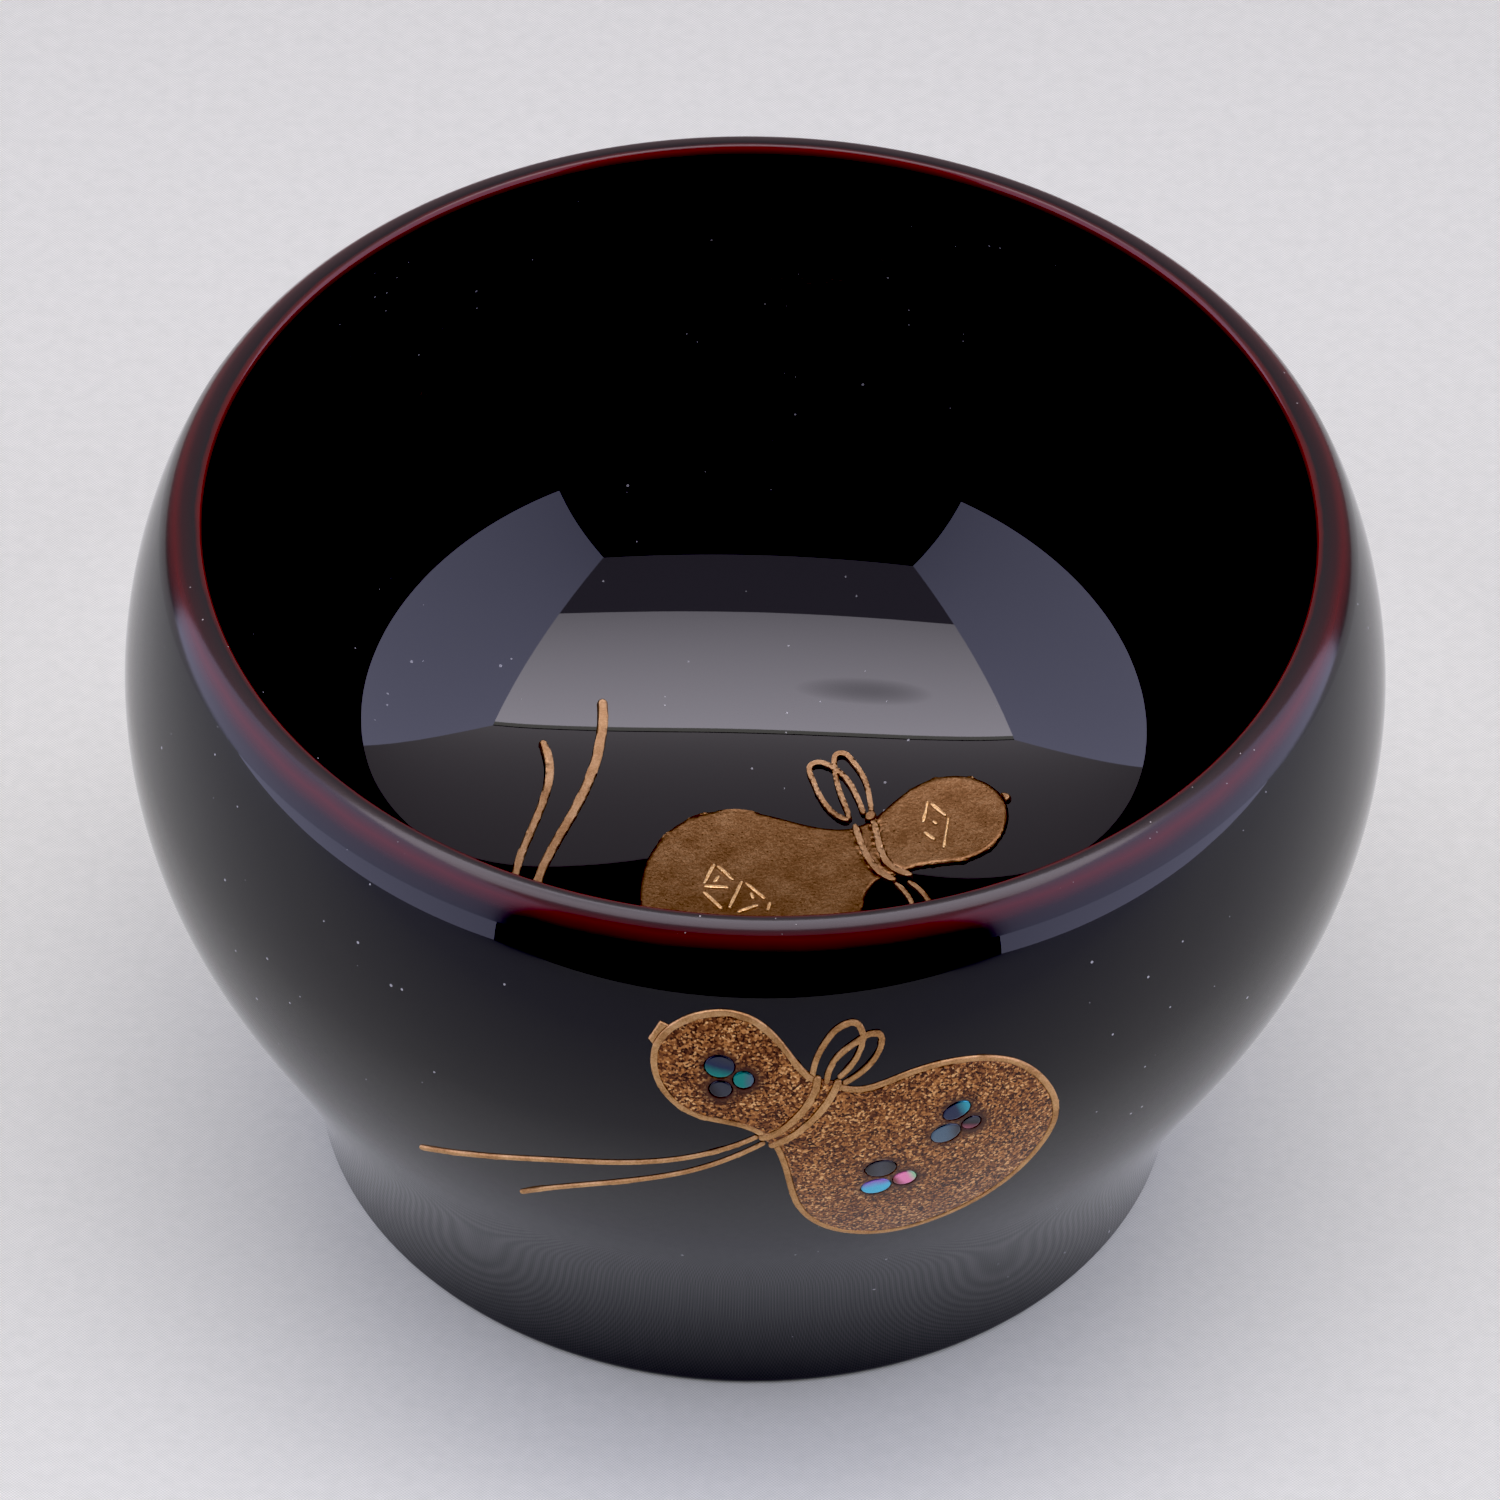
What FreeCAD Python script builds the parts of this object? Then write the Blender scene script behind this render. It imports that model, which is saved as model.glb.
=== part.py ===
import FreeCAD, Part
import math
import os
from collections import namedtuple

# A small turned wooden bowl in black lacquer, with raised gold gourds and shell inlay.
# Millimetres, +Z up. The origin is on the bowl's axis, in the plane that it stands on.
# The outside picture faces -Y.

Vector = FreeCAD.Vector

# ---------------------------------------------------------------- driving dimensions

HEIGHT = 77.0
MOUTH_RADIUS = 54.6
BELLY_RADIUS = 62.1
BELLY_HEIGHT = 56.6
FOOT_RADIUS = 42.45
FOOT_ROUNDING = 0.8
FOOT_RING_WIDTH = 4.6
RECESS_DEPTH = 8.0
RECESS_FILLET = 2.5
RECESS_TAPER = 0.4        # how much the ring thickens from its tread up into the recess
FLANK_RADIUS = 52.5       # where the hollow above the foot turns into the round belly
FLANK_HEIGHT = 26.0
SHOULDER_RADIUS = 58.8    # where the outer wall ends and the lip begins
SHOULDER_HEIGHT = 73.8
LIP_CREST = 0.6           # the lip's highest ring, measured outwards from the mouth
LIP_SLOPE = 1.6           # the middle of the slope outside the crest, measured the same way
LIP_SLOPE_DROP = 0.26     # how far that place is below the crest
LIP_ROUNDING = 0.7        # from the crest down to the mouth's narrowest ring
LIP_DEPTH = 2.3           # from the crest down to the lip's inner edge
LIP_OVERHANG = 0.9        # how far the lip stands in from the wall below it
WALL = 2.6
FLOOR_HEIGHT = 15.4

COAT = 0.4                # every lacquer coat
OUTER_GROUND = 0.15       # gold flakes sprinkled on the outside
SHELL_INLAY = 0.18
OUTER_LINE = 0.22         # gold lines on the outside
OUTER_BAND = 0.27         # the cord's two turns round the neck
INNER_GROUND = 0.40       # the built-up gourd on the floor
INNER_LINE = 0.45
INNER_BAND = 0.60
CREST_LINE = 0.15         # fine strokes on top of the inner ground

OUTLINE_WIDTH = 0.65
OUTER_BAND_WIDTH = 0.75
OUTER_BOW_WIDTH = 0.55
INNER_BAND_WIDTH = 0.60
INNER_BOW_WIDTH = 0.50
CREST_WIDTH = 0.34
OUTER_CORD_WIDTH = 0.5    # a cord is this wide where it leaves the bow
UPPER_TAIL_WIDTH = 0.7    # and this wide at its brushed end
LOWER_TAIL_WIDTH = 0.6
INNER_CORD_WIDTH = 0.45
LONG_CORD_WIDTH = 0.85
SHORT_CORD_WIDTH = 1.05

SAMPLES_PER_JOIN = 14     # how finely an offset line follows its curve
SMALLEST_FACE = 0.03      # square millimetres; a trimming crumb is under this
SAME_PLACE = 1e-6         # points nearer than this are one point

# ---------------------------------------------------------------- section of the bowl

# The section is drawn through knots. The line leaves each knot along its heading, in
# degrees from +r towards +z, and the wood is always on the left of the line.
Knot = namedtuple("Knot", "radius height heading")

ring_inside = FOOT_RADIUS - FOOT_RING_WIDTH
recess_centre = Knot(0.0, RECESS_DEPTH, 0)
recess_edge = Knot(ring_inside - RECESS_TAPER - RECESS_FILLET, RECESS_DEPTH, 0)
recess_side = Knot(ring_inside - RECESS_TAPER, RECESS_DEPTH - RECESS_FILLET, -86)
ring_inner_corner = Knot(ring_inside, FOOT_ROUNDING, -86)
ring_inner_tread = Knot(ring_inside + FOOT_ROUNDING, 0.0, 0)
ring_outer_tread = Knot(FOOT_RADIUS - FOOT_ROUNDING, 0.0, 0)

foot_edge = Knot(FOOT_RADIUS, FOOT_ROUNDING, 81)
flank = Knot(FLANK_RADIUS, FLANK_HEIGHT, 61.5)
belly = Knot(BELLY_RADIUS, BELLY_HEIGHT, 90)
shoulder = Knot(SHOULDER_RADIUS, SHOULDER_HEIGHT, 114)

lip_slope = Knot(MOUTH_RADIUS + LIP_SLOPE, HEIGHT - LIP_SLOPE_DROP, 159)
lip_crest = Knot(MOUTH_RADIUS + LIP_CREST, HEIGHT, 180)
lip_inner_edge = Knot(MOUTH_RADIUS, HEIGHT - LIP_ROUNDING, 270)
neck_inside = Knot(MOUTH_RADIUS + LIP_OVERHANG, HEIGHT - LIP_DEPTH, 308)

belly_inside = Knot(BELLY_RADIUS - WALL, BELLY_HEIGHT, 270)
floor_centre = Knot(0.0, FLOOR_HEIGHT, 180)


def direction(heading):
    angle = math.radians(heading)
    return Vector(math.cos(angle), 0, math.sin(angle))


def join(start, end, start_reach, end_reach):
    """A smooth curve from knot to knot; the reaches are its handle lengths."""
    first = Vector(start.radius, 0, start.height)
    last = Vector(end.radius, 0, end.height)
    curve = Part.BezierCurve()
    curve.setPoles([
        first,
        first + direction(start.heading) * start_reach,
        last - direction(end.heading) * end_reach,
        last,
    ])
    return curve


def straight(start, end):
    """A straight line from knot to knot, so that it turns into a true plane."""
    return Part.LineSegment(
        Vector(start.radius, 0, start.height),
        Vector(end.radius, 0, end.height),
    )


recess_line = [
    straight(recess_centre, recess_edge),
    join(recess_edge, recess_side, 1.3, 1.3),
    join(recess_side, ring_inner_corner, 1.5, 1.5),
]
tread_line = [
    join(ring_inner_corner, ring_inner_tread, 0.4, 0.4),
    straight(ring_inner_tread, ring_outer_tread),
    join(ring_outer_tread, foot_edge, 0.44, 0.44),
]
wall_line = [
    join(foot_edge, flank, 9.7, 7.4),
    join(flank, belly, 7.5, 13.95),
    join(belly, shoulder, 6.1, 4.6),
]
lip_line = [
    join(shoulder, lip_slope, 1.6, 1.1),
    join(lip_slope, lip_crest, 0.35, 0.35),
    join(lip_crest, lip_inner_edge, 0.35, 0.4),
    join(lip_inner_edge, neck_inside, 0.5, 0.9),
]
inside_line = [
    join(neck_inside, belly_inside, 4.6, 8.5),
    join(belly_inside, floor_centre, 32.0, 33.0),
]


def offset_curve(curve, distance):
    """The curve moved sideways, to its left where the distance is positive."""
    if isinstance(curve, Part.LineSegment):
        along = (curve.EndPoint - curve.StartPoint).normalize()
        left = Vector(-along.z, 0, along.x) * distance
        return Part.LineSegment(curve.StartPoint + left, curve.EndPoint + left)
    points = []
    for step in range(SAMPLES_PER_JOIN + 1):
        share = step / SAMPLES_PER_JOIN
        place = curve.FirstParameter + (curve.LastParameter - curve.FirstParameter) * share
        tangent = curve.tangent(place)[0]
        left = Vector(-tangent.z, 0, tangent.x)
        points.append(curve.value(place) + left * distance)
    for end in (0, -1):
        if abs(points[end].x) < SAME_PLACE:
            points[end].x = 0.0
    moved = Part.BSplineCurve()
    moved.interpolate(
        Points=points,
        InitialTangent=curve.tangent(curve.FirstParameter)[0],
        FinalTangent=curve.tangent(curve.LastParameter)[0],
    )
    return moved


def moved_line(line, distance):
    if distance == 0:
        return line
    return [offset_curve(curve, distance) for curve in line]


def start_of(line):
    return line[0].value(line[0].FirstParameter)


def end_of(line):
    return line[-1].value(line[-1].LastParameter)


def edges_of(line):
    return [curve.toShape() for curve in line]


def closing_edges(points):
    """Straight edges through the points, without those that have no length."""
    edges = []
    for first, second in zip(points, points[1:]):
        if first.distanceToPoint(second) > SAME_PLACE:
            edges.append(Part.LineSegment(first, second).toShape())
    return edges


def turned(section_edges, sweep=360.0, begin=0.0):
    """The solid that the section makes when it turns about the bowl's axis."""
    wire = Part.Wire(Part.__sortEdges__(section_edges))
    face = Part.Face(wire)
    face.rotate(Vector(0, 0, 0), Vector(0, 0, 1), begin)
    return face.revolve(Vector(0, 0, 0), Vector(0, 0, 1), sweep)


def coat(line, near, far, sweep=360.0, begin=0.0):
    """The layer between two offsets of a line; positive offsets are inside the wood."""
    near_line = moved_line(line, near)
    far_line = moved_line(line, far)
    section = edges_of(near_line) + edges_of(far_line)
    section += closing_edges([start_of(near_line), start_of(far_line)])
    section += closing_edges([end_of(near_line), end_of(far_line)])
    return turned(section, sweep, begin)


def wood_core():
    skin = moved_line(recess_line + tread_line + wall_line + lip_line + inside_line, COAT)
    section = edges_of(skin) + closing_edges([end_of(skin), start_of(skin)])
    return turned(section)


# ---------------------------------------------------------------- flat drawing helpers

# A picture is drawn flat, as faces in the XY plane, and then laid on the bowl.


def flat(point):
    return Vector(point[0], point[1], 0)


def smooth_curve(points):
    curve = Part.BSplineCurve()
    curve.interpolate([flat(point) for point in points])
    return curve


def closed_face(*sides):
    """A face bounded by smooth sides; each side starts where the one before ends."""
    edges = [smooth_curve(side).toShape() for side in sides]
    return Part.Face(Part.Wire(Part.__sortEdges__(edges)))


def beside(curve, start_distance, end_distance):
    """A curve to the left of another, at a distance that changes evenly along it."""
    steps = 6 * max(curve.NbPoles - 2, 2)
    points = []
    for step in range(steps + 1):
        share = step / steps
        place = curve.FirstParameter + (curve.LastParameter - curve.FirstParameter) * share
        tangent = curve.tangent(place)[0]
        distance = start_distance + (end_distance - start_distance) * share
        points.append(curve.value(place) + Vector(-tangent.y, tangent.x, 0) * distance)
    moved = Part.BSplineCurve()
    moved.interpolate(points)
    return moved


def round_end(left, right, outwards):
    """A half-round cap from one side of a ribbon to the other."""
    tip = (left + right) * 0.5 + outwards * (left.distanceToPoint(right) / 2)
    return Part.Arc(left, tip, right).toShape()


def ribbon(points, start_width, end_width):
    """A line of gold of the given widths, with round ends."""
    centre = smooth_curve(points)
    left = beside(centre, start_width / 2, end_width / 2)
    right = beside(centre, -start_width / 2, -end_width / 2)
    back = centre.tangent(centre.FirstParameter)[0] * -1
    ahead = centre.tangent(centre.LastParameter)[0]
    edges = [
        left.toShape(),
        round_end(left.value(left.LastParameter), right.value(right.LastParameter), ahead),
        right.toShape(),
        round_end(left.value(left.FirstParameter), right.value(right.FirstParameter), back),
    ]
    return Part.Face(Part.Wire(Part.__sortEdges__(edges)))


def edge_line(points, width):
    """A line of gold that lies just inside a bulb's outline, which runs clockwise."""
    outline = smooth_curve(points)
    inside = beside(outline, -width, -width)
    edges = [outline.toShape(), inside.toShape()]
    for place in ("FirstParameter", "LastParameter"):
        edges += closing_edges([
            outline.value(getattr(outline, place)),
            inside.value(getattr(inside, place)),
        ])
    return Part.Face(Part.Wire(Part.__sortEdges__(edges)))


def oval(centre, length, width, tilt):
    """A filled ellipse with its long axis turned by the tilt, in degrees."""
    angle = math.radians(tilt)
    middle = flat(centre)
    along = Vector(math.cos(angle), math.sin(angle), 0) * (length / 2)
    across = Vector(-math.sin(angle), math.cos(angle), 0) * (width / 2)
    edge = Part.Ellipse(middle + along, middle + across, middle).toShape()
    return Part.Face(Part.Wire(edge))


def trimmed(face, others):
    """The face without what the others cover, and without crumbs."""
    for other in others:
        face = face.cut(other)
    kept = [part for part in face.Faces if part.Area > SMALLEST_FACE]
    return Part.makeCompound(kept)


def joined(faces):
    shape = faces[0]
    for face in faces[1:]:
        shape = shape.fuse(face)
    return shape.removeSplitter()


# ---------------------------------------------------------------- laying a picture on the bowl

PICTURE_REACH = 80.0      # further than the bowl's widest radius
OUTER_PICTURE_SWEEP = 110.0


def lay_outside(face, near, far):
    """The layer of the outer wall, between two heights above it, under a flat face."""
    layer = coat(wall_line, -near, -far, OUTER_PICTURE_SWEEP, -90.0 - OUTER_PICTURE_SWEEP / 2)
    upright = face.copy()
    upright.rotate(Vector(0, 0, 0), Vector(1, 0, 0), 90)
    upright.translate(Vector(0, -PICTURE_REACH, 0))
    return solids_of(layer.common(upright.extrude(Vector(0, PICTURE_REACH, 0))))


def lay_inside(face, near, far):
    """The layer of the bowl's floor, between two heights above it, under a flat face."""
    layer = coat([inside_line[-1]], -near, -far)
    return solids_of(layer.common(face.extrude(Vector(0, 0, BELLY_HEIGHT))))


def solids_of(shape):
    solids = [solid for solid in shape.Solids if solid.Volume > SMALLEST_FACE * OUTER_GROUND]
    return solids[0] if len(solids) == 1 else Part.makeCompound(solids)


# ---------------------------------------------------------------- outside picture

# Points are (x, z). Both bulbs run clockwise, and end on the neck's two turns of cord.
outer_upper_turn = [(7.1, 61.6), (6.7, 59.5), (5.4, 57.1), (3.9, 55.2), (1.9, 54.0)]
outer_lower_turn = [(9.1, 61.0), (8.4, 59.2), (6.9, 56.6), (5.0, 54.4), (2.9, 52.9)]
outer_small_bulb = [
    outer_upper_turn[-1],
    (-0.3, 55.4), (-4.7, 56.5), (-7.8, 59.1), (-9.1, 62.7), (-8.6, 65.8),
    (-6.2, 68.3), (-2.7, 69.5), (0.4, 69.0), (3.2, 66.7), (5.3, 63.6),
    outer_upper_turn[0],
]
outer_large_bulb = [
    outer_lower_turn[0],
    (11.0, 60.2), (15.2, 61.2), (20.3, 61.9), (26.0, 60.1), (29.6, 55.5), (30.7, 50.0),
    (29.0, 45.0), (25.3, 40.0), (20.0, 36.3), (13.9, 34.9), (8.7, 37.2), (5.5, 42.0), (4.2, 48.0),
    outer_lower_turn[-1],
]
outer_stem = [(-7.3, 67.3), (-8.3, 67.7), (-9.4, 65.6), (-8.5, 64.5)]
outer_left_loop = [
    (6.6, 61.9), (7.0, 64.2), (7.9, 66.1), (9.3, 67.6), (10.6, 67.8),
    (11.3, 66.8), (11.3, 65.2), (10.6, 63.4), (9.3, 61.7),
]
outer_right_loop = [
    (8.0, 61.2), (8.3, 62.8), (9.4, 64.6), (10.7, 65.6), (12.2, 66.4),
    (13.0, 66.2), (13.2, 65.2), (12.7, 63.7), (11.4, 62.1), (9.8, 60.9),
]
outer_upper_tail = [
    (1.3, 54.0), (-2.5, 51.7), (-6.9, 49.8), (-12.0, 48.2), (-18.1, 46.4), (-24.4, 43.6), (-31.2, 39.5),
]
outer_lower_tail = [
    (2.0, 53.1), (-0.8, 51.0), (-4.5, 48.6), (-9.2, 46.2), (-15.0, 43.2), (-21.3, 38.2),
]

# Shell pieces in groups of three: centre, length, width and tilt in degrees.
shell_pieces = {
    "shell_neck_end_large": ((-2.4, 63.1), 3.0, 2.7, 0),
    "shell_neck_end_right": ((-0.05, 61.6), 2.1, 2.1, 0),
    "shell_neck_end_lower": ((-2.25, 60.35), 2.3, 2.1, 0),
    "shell_shoulder_upper": ((20.7, 55.0), 2.9, 2.2, 34),
    "shell_shoulder_lower": ((19.7, 52.0), 3.0, 2.6, 23),
    "shell_shoulder_right": ((22.15, 52.8), 1.9, 1.8, 10),
    "shell_base_upper": ((13.5, 48.1), 3.1, 2.7, 0),
    "shell_base_left": ((13.1, 45.1), 3.0, 2.5, 15),
    "shell_base_right": ((15.85, 45.9), 2.4, 2.3, 22),
}


def outside_picture():
    upper_turn = ribbon(outer_upper_turn, OUTER_BAND_WIDTH, OUTER_BAND_WIDTH)
    lower_turn = ribbon(outer_lower_turn, OUTER_BAND_WIDTH, OUTER_BAND_WIDTH)
    turns = [upper_turn, lower_turn]
    stem = closed_face(outer_stem[:2], outer_stem[1:3], outer_stem[2:], [outer_stem[-1], outer_stem[0]])
    small_outline = trimmed(edge_line(outer_small_bulb, OUTLINE_WIDTH), turns)
    large_outline = trimmed(edge_line(outer_large_bulb, OUTLINE_WIDTH), turns)
    outlines = [small_outline, large_outline]
    stem = trimmed(stem, outlines)
    bow = joined([
        ribbon(outer_left_loop, OUTER_BOW_WIDTH, OUTER_BOW_WIDTH),
        ribbon(outer_right_loop, OUTER_BOW_WIDTH, OUTER_BOW_WIDTH),
    ])
    bow = trimmed(bow, turns + outlines)
    upper_tail = trimmed(ribbon(outer_upper_tail, OUTER_CORD_WIDTH, UPPER_TAIL_WIDTH), turns + outlines)
    lower_tail = trimmed(ribbon(outer_lower_tail, OUTER_CORD_WIDTH, LOWER_TAIL_WIDTH), turns + outlines)
    shells = {name: oval(*shape) for name, shape in shell_pieces.items()}
    covers = turns + outlines + [stem] + list(shells.values())
    small_ground = closed_face(outer_small_bulb, outer_upper_turn)
    large_ground = closed_face(outer_large_bulb, outer_lower_turn[::-1])
    neck_ground = closed_face(
        outer_upper_turn,
        [outer_upper_turn[-1], outer_lower_turn[-1]],
        outer_lower_turn[::-1],
        [outer_lower_turn[0], outer_upper_turn[0]],
    )

    pieces = {
        "outer_neck_turn_upper": lay_outside(upper_turn, 0, OUTER_BAND),
        "outer_neck_turn_lower": lay_outside(lower_turn, 0, OUTER_BAND),
        "outer_gourd_small_outline": lay_outside(small_outline, 0, OUTER_LINE),
        "outer_gourd_large_outline": lay_outside(large_outline, 0, OUTER_LINE),
        "outer_gourd_stem": lay_outside(stem, 0, OUTER_LINE),
        "outer_bow": lay_outside(bow, 0, OUTER_LINE),
        "outer_cord_tail_upper": lay_outside(upper_tail, 0, OUTER_LINE),
        "outer_cord_tail_lower": lay_outside(lower_tail, 0, OUTER_LINE),
        "outer_gourd_small_ground": lay_outside(trimmed(small_ground, covers), 0, OUTER_GROUND),
        "outer_gourd_neck_ground": lay_outside(trimmed(neck_ground, covers), 0, OUTER_GROUND),
        "outer_gourd_large_ground": lay_outside(trimmed(large_ground, covers), 0, OUTER_GROUND),
    }
    for name, shape in shells.items():
        pieces[name] = lay_outside(shape, 0, SHELL_INLAY)
    return pieces


# ---------------------------------------------------------------- inside picture

# Points are (x, y). The neck lines end the two bulbs, and the turns of cord follow them.
inner_left_neck = [(10.4, 19.3), (11.2, 16.6), (12.2, 14.4), (13.4, 12.9)]
inner_right_neck = [(12.1, 20.2), (13.0, 16.2), (14.0, 14.1), (15.1, 13.2)]
inner_left_turn = inner_left_neck + [(14.4, 12.3)]
inner_right_turn = inner_right_neck + [(16.0, 12.8)]
inner_small_bulb = [
    inner_right_neck[0],
    (13.2, 21.3), (15.1, 23.1), (17.6, 24.5), (20.8, 24.6), (23.6, 23.2), (25.4, 20.6), (25.5, 18.0),
    (24.2, 15.6), (21.5, 14.2), (18.1, 14.0),
    inner_right_neck[-1],
]
inner_large_bulb = [
    inner_left_neck[-1],
    (11.8, 10.8), (11.2, 5.5), (8.6, 0.2), (3.0, -3.4), (-3.5, -2.6), (-8.6, 2.2), (-10.9, 9.2),
    (-9.8, 15.8), (-6.3, 20.1), (-1.6, 21.4), (3.2, 20.5), (7.6, 19.3),
    inner_left_neck[0],
]
inner_stem_end = ((25.1, 21.3), 1.5, 1.1, -12)
inner_knot = ((11.9, 20.5), 1.3, 1.1, 60)
inner_left_loop = [
    (9.6, 20.2), (8.3, 21.0), (7.0, 22.8), (6.0, 25.2), (5.8, 26.8), (6.4, 27.1), (7.7, 26.7), (9.2, 25.4),
    (10.4, 23.3), (11.2, 21.0),
]
inner_right_loop = [
    (9.8, 20.5), (8.7, 23.9), (8.2, 26.6), (8.4, 28.0), (9.0, 28.1), (9.9, 27.3), (11.1, 25.3), (11.7, 23.2),
    (12.0, 21.1),
]
inner_outer_cord = [
    (15.9, 12.0), (17.6, 9.9), (18.8, 4.2), (16.3, -3.2), (9.4, -9.0), (-1.0, -11.5), (-12.0, -8.6),
    (-20.2, -0.2), (-23.4, 9.0), (-22.3, 15.2), (-20.8, 20.4), (-20.3, 24.2), (-21.0, 26.8),
]
inner_inner_cord = [
    (14.6, 11.9), (16.0, 9.8), (16.9, 4.2), (14.4, -2.4), (8.2, -7.2), (-1.0, -9.4), (-11.0, -6.6),
    (-18.2, 0.6), (-21.2, 8.6), (-20.0, 14.0), (-17.4, 20.5), (-15.6, 26.4), (-15.2, 32.2),
]

# Each crest is an open diamond of single strokes, with a short stroke or two inside it.
crest_strokes = {
    "inner_crest_small_bulb": [
        [(17.6, 21.7), (17.2, 19.4)], [(18.0, 21.4), (19.4, 19.9)], [(19.7, 19.5), (19.3, 16.0)],
        [(17.4, 18.0), (18.3, 17.1)], [(18.2, 19.3), (18.5, 19.0)],
    ],
    "inner_crest_large_left": [
        [(-3.6, 14.2), (-4.5, 11.8)], [(-3.2, 14.0), (-1.7, 12.4)], [(-4.4, 11.3), (-2.2, 11.3)],
        [(-3.1, 12.7), (-3.5, 12.0)], [(-4.5, 10.5), (-2.8, 8.5)],
    ],
    "inner_crest_large_right": [
        [(-0.8, 12.1), (-1.9, 8.7)], [(-0.3, 11.9), (1.5, 10.0)], [(-1.0, 8.1), (0.8, 9.0)],
        [(0.2, 10.6), (0.4, 10.0)], [(2.1, 9.4), (1.9, 8.5)],
    ],
}


def inside_picture():
    left_turn = ribbon(inner_left_turn, INNER_BAND_WIDTH, INNER_BAND_WIDTH)
    right_turn = ribbon(inner_right_turn, INNER_BAND_WIDTH, INNER_BAND_WIDTH)
    knot = oval(*inner_knot)
    left_turn = trimmed(left_turn, [knot])
    right_turn = trimmed(right_turn, [knot])
    turns = [left_turn, right_turn, knot]
    bow = joined([
        ribbon(inner_left_loop, INNER_BOW_WIDTH, INNER_BOW_WIDTH),
        ribbon(inner_right_loop, INNER_BOW_WIDTH, INNER_BOW_WIDTH),
    ])
    bow = trimmed(bow, turns)
    outer_cord = trimmed(ribbon(inner_outer_cord, INNER_CORD_WIDTH, LONG_CORD_WIDTH), turns)
    inner_cord = trimmed(ribbon(inner_inner_cord, INNER_CORD_WIDTH, SHORT_CORD_WIDTH), turns)
    lines = turns + [bow, outer_cord, inner_cord]
    small_ground = trimmed(closed_face(inner_small_bulb, inner_right_neck[::-1]), lines)
    neck_ground = closed_face(
        inner_left_neck,
        [inner_left_neck[-1], inner_right_neck[-1]],
        inner_right_neck[::-1],
        [inner_right_neck[0], inner_left_neck[0]],
    )
    neck_ground = trimmed(neck_ground, lines)
    large_ground = trimmed(closed_face(inner_large_bulb, inner_left_neck), lines)
    stem_end = trimmed(oval(*inner_stem_end), [small_ground])

    pieces = {
        "inner_neck_turn_left": lay_inside(left_turn, 0, INNER_BAND),
        "inner_neck_turn_right": lay_inside(right_turn, 0, INNER_BAND),
        "inner_knot": lay_inside(knot, 0, INNER_BAND),
        "inner_bow": lay_inside(bow, 0, INNER_LINE),
        "inner_cord_outer": lay_inside(outer_cord, 0, INNER_LINE),
        "inner_cord_inner": lay_inside(inner_cord, 0, INNER_LINE),
        "inner_gourd_small": lay_inside(small_ground, 0, INNER_GROUND),
        "inner_gourd_neck": lay_inside(neck_ground, 0, INNER_GROUND),
        "inner_gourd_large": lay_inside(large_ground, 0, INNER_GROUND),
        "inner_gourd_stem": lay_inside(stem_end, 0, INNER_LINE),
    }
    for name, strokes in crest_strokes.items():
        crest = Part.makeCompound([ribbon(stroke, CREST_WIDTH, CREST_WIDTH) for stroke in strokes])
        pieces[name] = lay_inside(crest, INNER_GROUND, INNER_GROUND + CREST_LINE)
    return pieces


# ---------------------------------------------------------------- all pieces

pieces = {
    "wood_core": wood_core(),
    "recess_lacquer": coat(recess_line, 0, COAT),
    "foot_ring_lacquer": coat(tread_line, 0, COAT),
    "outer_lacquer": coat(wall_line, 0, COAT),
    "lip_lacquer": coat(lip_line, 0, COAT),
    "inner_lacquer": coat(inside_line, 0, COAT),
}
pieces.update(outside_picture())
pieces.update(inside_picture())

os.makedirs("parts", exist_ok=True)
for name, shape in pieces.items():
    shape.exportStep(os.path.join("parts", name + ".step"))
    print(name, "solids", len(shape.Solids), "valid", shape.isValid(), "mm3", round(shape.Volume, 3))
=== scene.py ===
# %% [markdown]
# # A black lacquer bowl with gold gourds
#
# The object is a small turned wooden bowl. It is coated in deep black lacquer, has a red-brown
# lip, and carries two raised gold pictures of tied bottle gourds: one outside, with shell inlay,
# and one on its floor. The CAD model gives every piece its place. This lesson keeps those places,
# gives each coat and each gold piece a finer mesh, and then gives each one its real finish.
#
# We start by loading the CAD model as a fixed frame, and keep its box.

import bisect
import math
from collections import namedtuple

import bmesh
import bpy
from mathutils import Matrix, Vector
from mathutils.geometry import interpolate_bezier
from mathutils.kdtree import KDTree


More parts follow.
